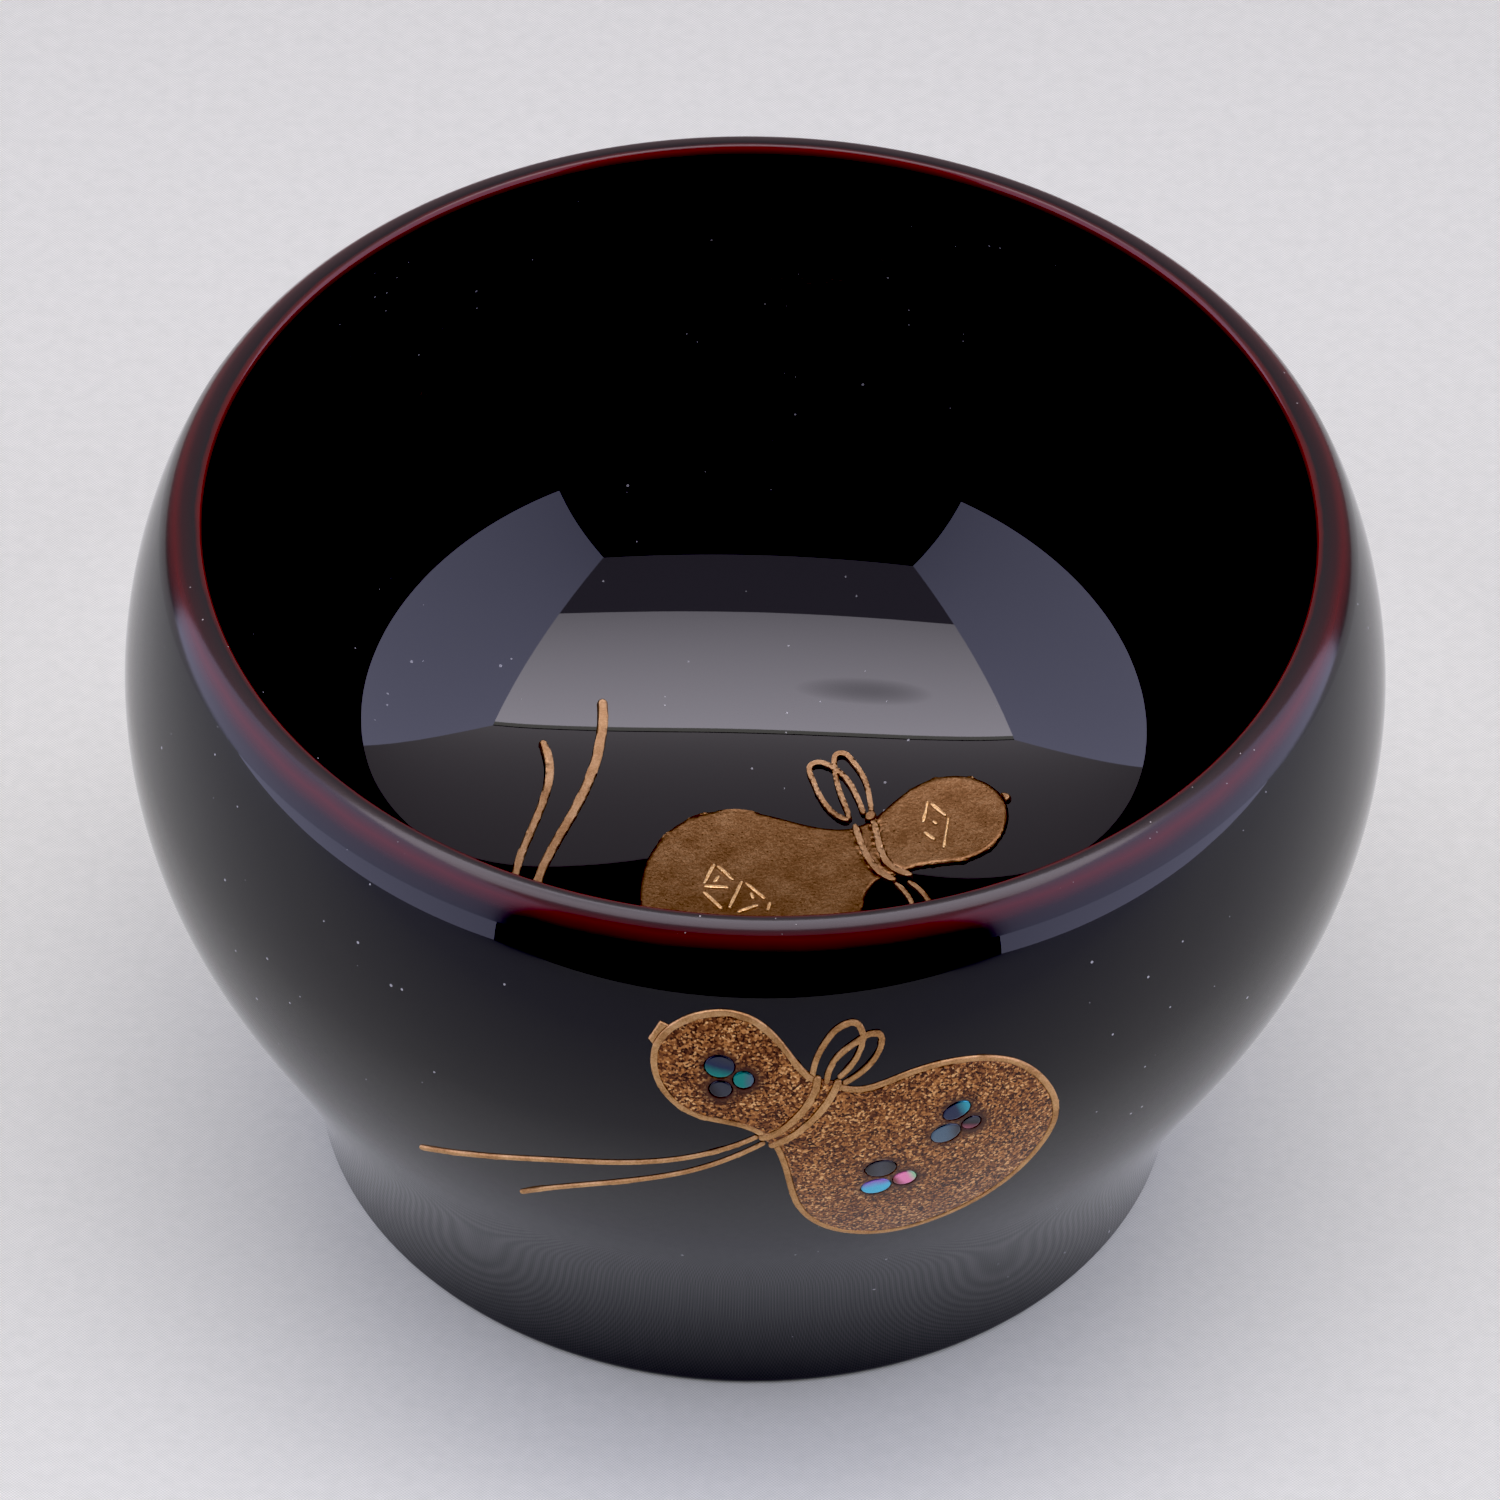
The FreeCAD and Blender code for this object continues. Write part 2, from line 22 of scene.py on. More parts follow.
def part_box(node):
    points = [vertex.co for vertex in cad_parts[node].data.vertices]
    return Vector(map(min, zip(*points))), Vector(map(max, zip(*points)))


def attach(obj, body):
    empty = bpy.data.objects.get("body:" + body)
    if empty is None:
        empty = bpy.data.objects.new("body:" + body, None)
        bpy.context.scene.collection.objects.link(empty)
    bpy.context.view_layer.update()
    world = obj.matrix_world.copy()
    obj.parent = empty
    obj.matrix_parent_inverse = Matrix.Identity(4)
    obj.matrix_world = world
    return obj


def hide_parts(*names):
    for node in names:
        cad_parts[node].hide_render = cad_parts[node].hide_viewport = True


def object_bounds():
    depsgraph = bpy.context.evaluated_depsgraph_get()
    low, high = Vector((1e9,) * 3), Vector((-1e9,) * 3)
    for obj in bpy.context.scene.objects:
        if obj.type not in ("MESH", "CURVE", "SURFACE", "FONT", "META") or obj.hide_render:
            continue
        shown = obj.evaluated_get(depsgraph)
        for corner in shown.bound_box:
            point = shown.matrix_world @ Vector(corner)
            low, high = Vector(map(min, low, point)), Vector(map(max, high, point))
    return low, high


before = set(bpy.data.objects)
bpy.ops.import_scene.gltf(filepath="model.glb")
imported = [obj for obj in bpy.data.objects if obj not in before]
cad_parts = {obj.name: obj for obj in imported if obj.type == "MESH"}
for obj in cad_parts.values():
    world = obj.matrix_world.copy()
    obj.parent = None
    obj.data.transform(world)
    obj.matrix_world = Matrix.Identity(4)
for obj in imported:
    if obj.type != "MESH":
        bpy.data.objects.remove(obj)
cad_low, cad_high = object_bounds()
print("CAD nodes:", len(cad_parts), "box:", cad_low, cad_high)

# %% [markdown]
# ## Measures
#
# Blender works in metres, and a bowl like this is drawn in millimetres, so the shapes below are
# worked out in millimetres and scaled down once at the end. The main sizes come from the boxes of
# the CAD nodes, so that they follow the CAD model. The small ones repeat its own numbers, because
# a box does not show them.

# %% Sizes in millimetres
MM = 0.001


def box_in_mm(node):
    low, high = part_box(node)
    return low / MM, high / MM


COAT = 0.4
ring_low, ring_high = box_in_mm("foot_ring_lacquer")
wall_low, wall_high = box_in_mm("outer_lacquer")
lip_low, lip_high = box_in_mm("lip_lacquer")
inside_low, inside_high = box_in_mm("inner_lacquer")

FOOT_RADIUS = ring_high.x
BELLY_RADIUS = wall_high.x
SHOULDER_RADIUS = lip_high.x
SHOULDER_HEIGHT = wall_high.z
HEIGHT = lip_high.z
FLOOR_HEIGHT = inside_low.z + COAT
BELLY_INSIDE_RADIUS = inside_high.x - COAT

FOOT_ROUNDING = 0.8
MOUTH_RADIUS = 54.6
BELLY_HEIGHT = 56.6
FLANK_RADIUS = 52.5
FLANK_HEIGHT = 26.0
FOOT_RING_WIDTH = 4.6
RECESS_DEPTH = 8.0
RECESS_FILLET = 2.5
RECESS_TAPER = 0.4
LIP_CREST = 0.6
LIP_SLOPE = 1.6
LIP_SLOPE_DROP = 0.26
LIP_ROUNDING = 0.7
LIP_OVERHANG = 0.9
LIP_DEPTH = 2.3
print("foot", FOOT_RADIUS, "belly", BELLY_RADIUS, "height", HEIGHT, "floor", FLOOR_HEIGHT)

# %% [markdown]
# ## The bowl's section
#
# A turner works from a section: the line that a cut through the bowl's axis shows. Here it is
# drawn through knots with smooth joins, in the plane of radius and height. Each knot says which
# way the line leaves it, in degrees from outwards towards up. The wood is on the line's left.

# %% A section made of smooth joins
Knot = namedtuple("Knot", "radius height heading")
FINE_STEPS = 300


def direction(heading):
    angle = math.radians(heading)
    return Vector((math.cos(angle), math.sin(angle)))


def join(start, end, start_reach, end_reach):
    """Points of the smooth curve between two knots; the reaches are its handle lengths."""
    first = Vector((start.radius, start.height))
    last = Vector((end.radius, end.height))
    first_handle = first + direction(start.heading) * start_reach
    last_handle = last - direction(end.heading) * end_reach
    return interpolate_bezier(first, first_handle, last_handle, last, FINE_STEPS)


class Section:
    """A line of the section that can be walked along, and that knows its outward side."""

    def __init__(self, *joins):
        self.points = list(joins[0])
        for points in joins[1:]:
            self.points += points[1:]
        self.walked = [0.0]
        for before, after in zip(self.points, self.points[1:]):
            self.walked.append(self.walked[-1] + (after - before).length)
        self.length = self.walked[-1]
        self.tree = KDTree(len(self.points))
        for index, point in enumerate(self.points):
            self.tree.insert((point.x, point.y, 0), index)
        self.tree.balance()

    def along(self, index):
        before = self.points[max(index - 1, 0)]
        after = self.points[min(index + 1, len(self.points) - 1)]
        return (after - before).normalized()

    def place(self, walked, lift=0.0):
        """The point at that length along the line, moved outwards by the lift."""
        index = min(max(bisect.bisect(self.walked, walked) - 1, 0), len(self.points) - 2)
        step = self.walked[index + 1] - self.walked[index]
        share = (walked - self.walked[index]) / step
        point = self.points[index].lerp(self.points[index + 1], share)
        along = self.along(index).lerp(self.along(index + 1), share).normalized()
        return point + Vector((along.y, -along.x)) * lift

    def foot_of(self, point):
        """The length along the line nearest to a point, and the point's height above it."""
        _, index, _ = self.tree.find((point.x, point.y, 0))
        along = self.along(index)
        apart = point - self.points[index]
        return self.walked[index] + apart.dot(along), apart.dot(Vector((along.y, -along.x)))


# %% [markdown]
# ## Knots and lines
#
# Five lines make the bowl: the recess under the foot, the foot ring, the outside wall, the lip and
# the inside. Neighbours share a knot, so that the coats meet without a step. A knot needs only a
# place and a heading, and the two reaches of a join say how full its curve is.

# %% The knots and the five lines
ring_inside = FOOT_RADIUS - FOOT_RING_WIDTH
recess_centre = Knot(0.0, RECESS_DEPTH, 0)
recess_edge = Knot(ring_inside - RECESS_TAPER - RECESS_FILLET, RECESS_DEPTH, 0)
recess_side = Knot(ring_inside - RECESS_TAPER, RECESS_DEPTH - RECESS_FILLET, -86)
ring_inner_corner = Knot(ring_inside, FOOT_ROUNDING, -86)
ring_inner_tread = Knot(ring_inside + FOOT_ROUNDING, 0.0, 0)
ring_outer_tread = Knot(FOOT_RADIUS - FOOT_ROUNDING, 0.0, 0)
foot_edge = Knot(FOOT_RADIUS, FOOT_ROUNDING, 81)
flank = Knot(FLANK_RADIUS, FLANK_HEIGHT, 61.5)
belly = Knot(BELLY_RADIUS, BELLY_HEIGHT, 90)
shoulder = Knot(SHOULDER_RADIUS, SHOULDER_HEIGHT, 114)
lip_slope = Knot(MOUTH_RADIUS + LIP_SLOPE, HEIGHT - LIP_SLOPE_DROP, 159)
lip_crest = Knot(MOUTH_RADIUS + LIP_CREST, HEIGHT, 180)
lip_inner_edge = Knot(MOUTH_RADIUS, HEIGHT - LIP_ROUNDING, 270)
neck_inside = Knot(MOUTH_RADIUS + LIP_OVERHANG, HEIGHT - LIP_DEPTH, 308)
belly_inside = Knot(BELLY_INSIDE_RADIUS, BELLY_HEIGHT, 270)
floor_centre = Knot(0.0, FLOOR_HEIGHT, 180)

recess_section = Section(
    join(recess_centre, recess_edge, 11.0, 11.0),
    join(recess_edge, recess_side, 1.3, 1.3),
    join(recess_side, ring_inner_corner, 1.5, 1.5),
)
ring_section = Section(
    join(ring_inner_corner, ring_inner_tread, 0.4, 0.4),
    join(ring_inner_tread, ring_outer_tread, 0.9, 0.9),
    join(ring_outer_tread, foot_edge, 0.44, 0.44),
)
wall_section = Section(
    join(foot_edge, flank, 9.7, 7.4),
    join(flank, belly, 7.5, 13.95),
    join(belly, shoulder, 6.1, 4.6),
)
lip_section = Section(
    join(shoulder, lip_slope, 1.6, 1.1),
    join(lip_slope, lip_crest, 0.35, 0.35),
    join(lip_crest, lip_inner_edge, 0.35, 0.4),
    join(lip_inner_edge, neck_inside, 0.5, 0.9),
)
inside_section = Section(
    join(neck_inside, belly_inside, 4.6, 8.5),
    join(belly_inside, floor_centre, 32.0, 33.0),
)
print("wall line", round(wall_section.length, 1), "mm; inside line", round(inside_section.length, 1), "mm")

# %% [markdown]
# ## Finishes
#
# A finish is a material whose nodes read the piece's own coordinates, so a pattern stays with the
# piece from every side. The small class below keeps the node building short: each method adds one
# node, and returns the socket that carries its result. Values that are the same all over a piece
# are set on the shader itself.

# %% A helper for finishes


def rgb(red, green, blue):
    return (red, green, blue, 1.0)


class Finish:
    """A material under construction, on a Principled shader."""

    def __init__(self, name, **settings):
        self.material = bpy.data.materials.new(name)
        self.material.use_nodes = True
        self.tree = self.material.node_tree
        self.shader = self.tree.nodes["Principled BSDF"]
        self.here = self.tree.nodes.new("ShaderNodeTexCoord").outputs["Object"]
        print("finish", name)
        for socket, value in settings.items():
            self.shader.inputs[socket.replace("_", " ")].default_value = value

    def feed(self, socket, value):
        if isinstance(value, bpy.types.NodeSocket):
            self.tree.links.new(value, socket)
        else:
            socket.default_value = value

    def set(self, socket, value):
        self.feed(self.shader.inputs[socket], value)

    def noise(self, scale, detail=2.0, roughness=0.5, distortion=0.0):
        node = self.tree.nodes.new("ShaderNodeTexNoise")
        self.feed(node.inputs["Vector"], self.here)
        self.feed(node.inputs["Scale"], scale)
        self.feed(node.inputs["Detail"], detail)
        self.feed(node.inputs["Roughness"], roughness)
        self.feed(node.inputs["Distortion"], distortion)
        return node.outputs["Fac"]

    def cells(self, scale, output="Distance"):
        node = self.tree.nodes.new("ShaderNodeTexVoronoi")
        self.feed(node.inputs["Vector"], self.here)
        self.feed(node.inputs["Scale"], scale)
        node.inputs["Randomness"].default_value = 1.0
        return node.outputs[output]

    def channel(self, colour, name="Red"):
        node = self.tree.nodes.new("ShaderNodeSeparateColor")
        self.feed(node.inputs[0], colour)
        return node.outputs[name]

    def axis(self, name):
        node = self.tree.nodes.new("ShaderNodeSeparateXYZ")
        self.feed(node.inputs[0], self.here)
        return node.outputs[name]

    def mark(self, name):
        node = self.tree.nodes.new("ShaderNodeAttribute")
        node.attribute_name = name
        return node.outputs["Fac"]

    def maths(self, operation, first, second=0.0):
        node = self.tree.nodes.new("ShaderNodeMath")
        node.operation = operation
        self.feed(node.inputs[0], first)
        self.feed(node.inputs[1], second)
        return node.outputs[0]

    def spread(self, value, low, high, to_low=0.0, to_high=1.0):
        node = self.tree.nodes.new("ShaderNodeMapRange")
        for socket, number in zip(node.inputs, (value, low, high, to_low, to_high)):
            self.feed(socket, number)
        return node.outputs["Result"]

    def ramp(self, value, *stops):
        node = self.tree.nodes.new("ShaderNodeValToRGB")
        node.color_ramp.interpolation = "LINEAR"
        elements = node.color_ramp.elements
        while len(elements) < len(stops):
            elements.new(0.5)
        for element, (place, _) in zip(elements, stops):
            element.position = place
        for element, (_, colour) in zip(elements, stops):
            element.color = colour
        self.feed(node.inputs["Fac"], value)
        return node.outputs["Color"]

    def mix(self, share, first, second):
        node = self.tree.nodes.new("ShaderNodeMix")
        node.data_type = "RGBA"
        self.feed(node.inputs["Factor"], share)
        sockets = [socket for socket in node.inputs if socket.type == "RGBA"]
        self.feed(sockets[0], first)
        self.feed(sockets[1], second)
        return [socket for socket in node.outputs if socket.type == "RGBA"][0]

    def spot(self, x, y, half_width, half_depth, taken):
        """1 everywhere but in a soft spot, where it falls to 1 - taken."""
        across = self.maths("DIVIDE", self.maths("SUBTRACT", self.axis("X"), x), half_width)
        along = self.maths("DIVIDE", self.maths("SUBTRACT", self.axis("Y"), y), half_depth)
        across_squared = self.maths("MULTIPLY", across, across)
        apart = self.maths("ADD", across_squared, self.maths("MULTIPLY", along, along))
        return self.spread(apart, 0.0, 1.0, 1.0 - taken, 1.0)

    def bump(self, height, distance, strength=1.0, under=None):
        node = self.tree.nodes.new("ShaderNodeBump")
        self.feed(node.inputs["Height"], height)
        self.feed(node.inputs["Distance"], distance)
        self.feed(node.inputs["Strength"], strength)
        if under is not None:
            self.feed(node.inputs["Normal"], under)
        return node.outputs["Normal"]


# %% [markdown]
# ## Lacquer
#
# Polished black lacquer is almost a mirror of low strength: a near black body under a clear, very
# smooth surface. What tells it from plastic is its depth and its faint, long waves. A little dust
# lies on it in loose groups. Round cells make the specks, and a broad noise says where they lie.

# %% Black lacquer
LACQUER_IOR = 1.53


def black_lacquer(name, roughness=0.014):
    lacquer = Finish(name, Roughness=roughness, IOR=LACQUER_IOR)
    chosen = lacquer.channel(lacquer.cells(900.0, "Color"))
    near = lacquer.maths("LESS_THAN", lacquer.cells(900.0), lacquer.spread(chosen, 0.84, 1.0, 0.0, 0.15))
    here_and_there = lacquer.maths("GREATER_THAN", lacquer.noise(38.0, 3.0), 0.53)
    speck = lacquer.maths("MULTIPLY", near, here_and_there)
    body = lacquer.mix(speck, rgb(0.0042, 0.0038, 0.0045), rgb(0.30, 0.30, 0.31))
    lacquer.set("Base Color", body)
    waves = lacquer.noise(55.0, 2.0)
    lacquer.set("Normal", lacquer.bump(waves, 0.00001, 0.5))
    return lacquer.material


lacquer_outside = black_lacquer("black_lacquer_outside")
lacquer_inside = black_lacquer("black_lacquer_inside")
lacquer_foot = black_lacquer("black_lacquer_foot", 0.03)

# %% [markdown]
# ## The turned coats
#
# Each lacquer coat is a thin closed shell: the surface line on one side, and the same line set
# back by the coat's thickness on the other. Spinning that loop of vertices about the axis makes
# the shell, as turning and coating make the real one. The CAD model's own triangles are too coarse
# for a mirror finish, so these finer shells stand for its nodes. Rings are closer together at a
# shell's ends, where it meets the next coat, so that no seam shows in the reflections.

# %% Spin a coat
TURN_STEPS = 256
RECESS_RINGS = 60
FOOT_RING_RINGS = 40
WALL_RINGS = 150
LIP_RINGS = 60
SAME_PLACE = 1e-5
SHARP_ANGLE = math.radians(75)
END_CROWDING = 0.85


def eased(share):
    """Shares that change slowly near 0 and 1."""
    return share - END_CROWDING * math.sin(2 * math.pi * share) / (2 * math.pi)


def finished(bm, name, slot, material, *nodes):
    """Makes the object, gives it its finish, and lets it stand for CAD nodes."""
    bmesh.ops.scale(bm, vec=(MM, MM, MM), verts=bm.verts)
    for face in bm.faces:
        face.smooth = True
    for edge in bm.edges:
        edge.smooth = edge.calc_face_angle(0) < SHARP_ANGLE
    mesh = bpy.data.meshes.new(name)
    bm.to_mesh(mesh)
    bm.free()
    piece = bpy.data.objects.new(name, mesh)
    bpy.context.scene.collection.objects.link(piece)
    mesh.materials.append(material)
    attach(piece, "root")
    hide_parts(*nodes)
    print(name, "faces", len(mesh.polygons))


def turned_coat(name, section, rings, slot, material, node):
    bm = bmesh.new()
    shares = [eased(ring / rings) for ring in range(rings + 1)]
    outside = [section.place(share * section.length) for share in shares]
    inside = [section.place(share * section.length, -COAT) for share in reversed(shares[::3] + [1.0])]
    loop = []
    for point in outside + inside:
        loop.append(bm.verts.new((max(point.x, 0.0), 0.0, point.y)))
    for first, second in zip(loop, loop[1:] + loop[:1]):
        if first.co.x > SAME_PLACE or second.co.x > SAME_PLACE:
            bm.edges.new((first, second))
    bmesh.ops.spin(
        bm, geom=bm.verts[:] + bm.edges[:], cent=(0, 0, 0), axis=(0, 0, 1),
        dvec=(0, 0, 0), angle=2 * math.pi, steps=TURN_STEPS, use_merge=True,
    )
    bmesh.ops.remove_doubles(bm, verts=bm.verts, dist=SAME_PLACE)
    bmesh.ops.recalc_face_normals(bm, faces=bm.faces)
    walked = bm.verts.layers.float.new("walked")
    for vert in bm.verts:
        vert[walked] = section.foot_of(Vector((math.hypot(vert.co.x, vert.co.y), vert.co.z)))[0]
    finished(bm, name, slot, material, node)


# %% [markdown]
# ## The black coats
#
# Black lacquer covers the recess, the foot ring, the outside wall and the inside. Each of them is
# one shell, and each shell ends at a knot that the next one starts from. The foot ring and the
# recess are a little less polished than the rest.

# %% The four black coats
turned_coat("recess_skin", recess_section, RECESS_RINGS, "black_lacquer", lacquer_foot, "recess_lacquer")
turned_coat(
    "foot_ring_skin", ring_section, FOOT_RING_RINGS, "black_lacquer", lacquer_foot, "foot_ring_lacquer",
)
turned_coat("outer_skin", wall_section, WALL_RINGS, "black_lacquer", lacquer_outside, "outer_lacquer")
turned_coat("inner_skin", inside_section, WALL_RINGS, "black_lacquer", lacquer_inside, "inner_lacquer")

# %% [markdown]
# ## The lip
#
# On the lip the black coat is thin over a red one. Wear and polishing have thinned it most on the
# inner edge, where red shows as a fine ring, and a little on the outer rounding. The colour
# follows the length walked along the section, which the spin left on each vertex.

# %% Lip lacquer
lip = Finish("lip_lacquer_worn", Roughness=0.15, IOR=1.45)
lip_share = lip.spread(lip.mark("walked"), 0.0, lip_section.length)
lip_drift = lip.spread(lip.noise(160.0, 3.0), 0.3, 0.7, -0.012, 0.012)
lip_colour = lip.ramp(
    lip.maths("ADD", lip_share, lip_drift),
    (0.00, rgb(0.0042, 0.0038, 0.0045)),
    (0.16, rgb(0.010, 0.004, 0.004)),
    (0.34, rgb(0.062, 0.006, 0.006)),
    (0.46, rgb(0.022, 0.007, 0.007)),
    (0.62, rgb(0.010, 0.008, 0.008)),
    (0.70, rgb(0.105, 0.008, 0.007)),
    (0.80, rgb(0.050, 0.004, 0.004)),
    (0.90, rgb(0.0042, 0.0038, 0.0045)),
)
lip_scuffs = lip.cells(1500.0)
lip_scuff_size = lip.spread(lip.channel(lip.cells(1500.0, "Color")), 0.80, 1.0, 0.0, 0.16)
lip_scuff_places = lip.maths("GREATER_THAN", lip.noise(42.0, 3.0), 0.51)
lip_speck = lip.maths("MULTIPLY", lip.maths("LESS_THAN", lip_scuffs, lip_scuff_size), lip_scuff_places)
lip_on_top = lip.maths("GREATER_THAN", lip_share, 0.30)
lip_speck = lip.maths("MULTIPLY", lip_speck, lip_on_top)
lip.set("Base Color", lip.mix(lip_speck, lip_colour, rgb(0.30, 0.27, 0.25)))
lip.set("Normal", lip.bump(lip.noise(900.0, 2.0), 0.000004, 0.6))
turned_coat("lip_skin", lip_section, LIP_RINGS, "lip_lacquer", lip.material, "lip_lacquer")

# %% [markdown]
# ## Gold and shell
#
# Raised maki-e is lacquer that is built up, and sprinkled with metal powder while it is wet. The
# fine powder of the lines gives a matte tan gold. The coarse flakes of the outer gourd lie under
# clear lacquer, so they glint through a gloss, with red-brown lacquer between them.

# %% Gold line
def line_gold(name, dark, middle, light):
    """Matte powdered gold, as fine grains over a slow change of tone."""
    gold = Finish(name, Metallic=0.75, Roughness=0.5)
    powder = gold.channel(gold.cells(9000.0, "Color"))
    tone = gold.spread(gold.noise(420.0, 3.0), 0.3, 0.7)
    powder_part = gold.maths("MULTIPLY", powder, 0.45)
    powder_mix = gold.maths("ADD", powder_part, gold.maths("MULTIPLY", tone, 0.55))
    gold.set("Base Color", gold.ramp(powder_mix, (0.00, dark), (0.45, middle), (1.00, light)))
    grit = gold.bump(gold.noise(5200.0, 2.0), 0.00001, 0.6)
    gold.set("Normal", gold.bump(gold.noise(900.0, 2.0), 0.00002, 0.5, grit))
    return gold.material


gold_line = line_gold(
    "gold_line_powder", rgb(0.290, 0.140, 0.054), rgb(0.500, 0.275, 0.115), rgb(0.700, 0.440, 0.220),
)
# The inside copy is the same gold made darker: painted shade for the dimmer light inside the bowl.
inner_line_painted_shade = line_gold(
    "gold_line_inside_painted_shade", rgb(0.218, 0.109, 0.048), rgb(0.375, 0.215, 0.101), rgb(0.525, 0.343, 0.194),
)

# %% [markdown]
# ## Crest strokes
#
# The little diamond crests are drawn last, with a fine brush and a brighter powder, so they stand
# out from the ground that they lie on. Here they get a lighter and slightly smoother gold.

# %% Brighter gold of the fine crest strokes
crest_gold = Finish("gold_crest_strokes", Metallic=0.75, Roughness=0.42)
crest_gold.set("Base Color", crest_gold.ramp(
    crest_gold.channel(crest_gold.cells(8000.0, "Color")),
    (0.0, rgb(0.62, 0.34, 0.130)),
    (1.0, rgb(1.00, 0.70, 0.360)),
))
crest_gold.set("Normal", crest_gold.bump(crest_gold.noise(3000.0, 2.0), 0.00001, 0.6))

# %% [markdown]
# ## Flake ground
#
# The outside gourd is filled with coarse flakes. Each small cell of a pattern is one flake with a
# tone of its own, from dark lacquer to bright gold. The ground is darker round the shell pieces.

# %% Gold flake ground under clear gloss
flakes = Finish("gold_flake_ground", Metallic=0.55, Roughness=0.38, Coat_Weight=0.35, Coat_Roughness=0.05)
flake_pick = flakes.channel(flakes.cells(4600.0, "Color"))
flake_drift = flakes.spread(flakes.noise(260.0, 4.0, 0.6), 0.25, 0.75)
flake_part = flakes.maths("MULTIPLY", flake_pick, 0.80)
flake_tone = flakes.maths("ADD", flake_part, flakes.maths("MULTIPLY", flake_drift, 0.20))
flake_colour = flakes.ramp(
    flake_tone,
    (0.10, rgb(0.018, 0.004, 0.001)),
    (0.36, rgb(0.095, 0.026, 0.006)),
    (0.58, rgb(0.235, 0.082, 0.020)),
    (0.78, rgb(0.480, 0.200, 0.055)),
    (1.00, rgb(0.950, 0.600, 0.260)),
)
from_shell = flakes.spread(flakes.mark("from_shell"), 0.0, 1.2)
flakes.set("Base Color", flakes.mix(from_shell, rgb(0.050, 0.016, 0.008), flake_colour))
flakes.set("Normal", flakes.bump(flake_pick, 0.00002, 0.6))
flakes.set("Coat Normal", flakes.bump(flakes.noise(700.0, 2.0), 0.000012, 0.5))

# %% [markdown]
# ## Built-up gold
#
# The inside gourd is built up with a paste of lacquer before the gold goes on. That leaves a matte,
# slightly lumpy skin with small pits, made here by two bumps and a scatter of dark cells.

# %% Raised gold of the inner gourd
raised_gold = Finish("raised_gold_ground", Metallic=0.9, Roughness=0.40)
raised_tone = raised_gold.spread(raised_gold.noise(300.0, 4.0, 0.6), 0.25, 0.75)
raised_grain = raised_gold.channel(raised_gold.cells(7000.0, "Color"))
raised_mix = raised_gold.maths(
    "ADD", raised_gold.maths("MULTIPLY", raised_grain, 0.4), raised_gold.maths("MULTIPLY", raised_tone, 0.6)
)
raised_colour = raised_gold.ramp(
    raised_mix,
    (0.00, rgb(0.094, 0.042, 0.016)),
    (0.50, rgb(0.206, 0.105, 0.046)),
    (1.00, rgb(0.360, 0.213, 0.106)),
)
pit_size = raised_gold.spread(raised_gold.channel(raised_gold.cells(2300.0, "Color")), 0.55, 1.0, 0.0, 0.24)
pit = raised_gold.maths("LESS_THAN", raised_gold.cells(2300.0), pit_size)
raised_gold.set("Base Color", raised_gold.mix(pit, raised_colour, rgb(0.09, 0.042, 0.016)))
orange_peel = raised_gold.bump(raised_gold.noise(2400.0, 2.0), 0.00004, 0.7)
raised_gold.set("Normal", raised_gold.bump(raised_gold.noise(5200.0, 1.0), 0.00002, 0.5, orange_peel))

# %% [markdown]
# ## Shell
#
# Thin shell shows colours that run into each other, from blue and teal to violet and pink, and
# each cut piece has its own. One function makes them all: the colours follow each other along one
# direction across the piece, a soft noise bends them, and a clear gloss lies over them. The rim is
# darker, because lacquer laps over the cut edge.

# %% Shell


def shell(name, run_angle, *colours):
    """Shell whose colours follow each other along one direction across the piece."""
    inlay = Finish(name, Metallic=0.7, Roughness=0.20, Coat_Weight=0.6, Coat_Roughness=0.04)
    angle = math.radians(run_angle)
    along_x = inlay.maths("MULTIPLY", inlay.mark("piece_x"), math.cos(angle))
    along_z = inlay.maths("MULTIPLY", inlay.mark("piece_z"), math.sin(angle))
    drift = inlay.spread(inlay.noise(520.0, 2.0, 0.5, 0.8), 0.3, 0.7, -0.14, 0.14)
    run = inlay.maths("ADD", inlay.maths("ADD", along_x, along_z), drift)
    last = len(colours) - 1
    stops = [(index / last, rgb(*colour)) for index, colour in enumerate(colours)]
    colour = inlay.ramp(inlay.spread(run, -0.8, 0.8), *stops)
    rim = inlay.spread(inlay.mark("from_edge"), 0.0, 0.20, 0.65, 1.0)
    inlay.set("Base Color", inlay.mix(rim, rgb(0.02, 0.010, 0.008), colour))
    inlay.set("Normal", inlay.bump(inlay.noise(900.0, 2.0), 0.00001, 0.5))
    return inlay.material


NAVY = (0.020, 0.030, 0.075)
TEAL = (0.010, 0.230, 0.200)
TEAL_BLUE = (0.030, 0.330, 0.420)
BRIGHT_BLUE = (0.060, 0.480, 0.700)
GREY_BLUE = (0.085, 0.140, 0.200)
VIOLET = (0.260, 0.160, 0.560)
PINK = (0.850, 0.240, 0.480)
DARK_PINK = (0.280, 0.060, 0.100)
DARK_RED = (0.200, 0.030, 0.030)
GREEN_GREY = (0.340, 0.620, 0.380)
SLATE = (0.045, 0.050, 0.065)
NEAR_BLACK = (0.020, 0.018, 0.022)

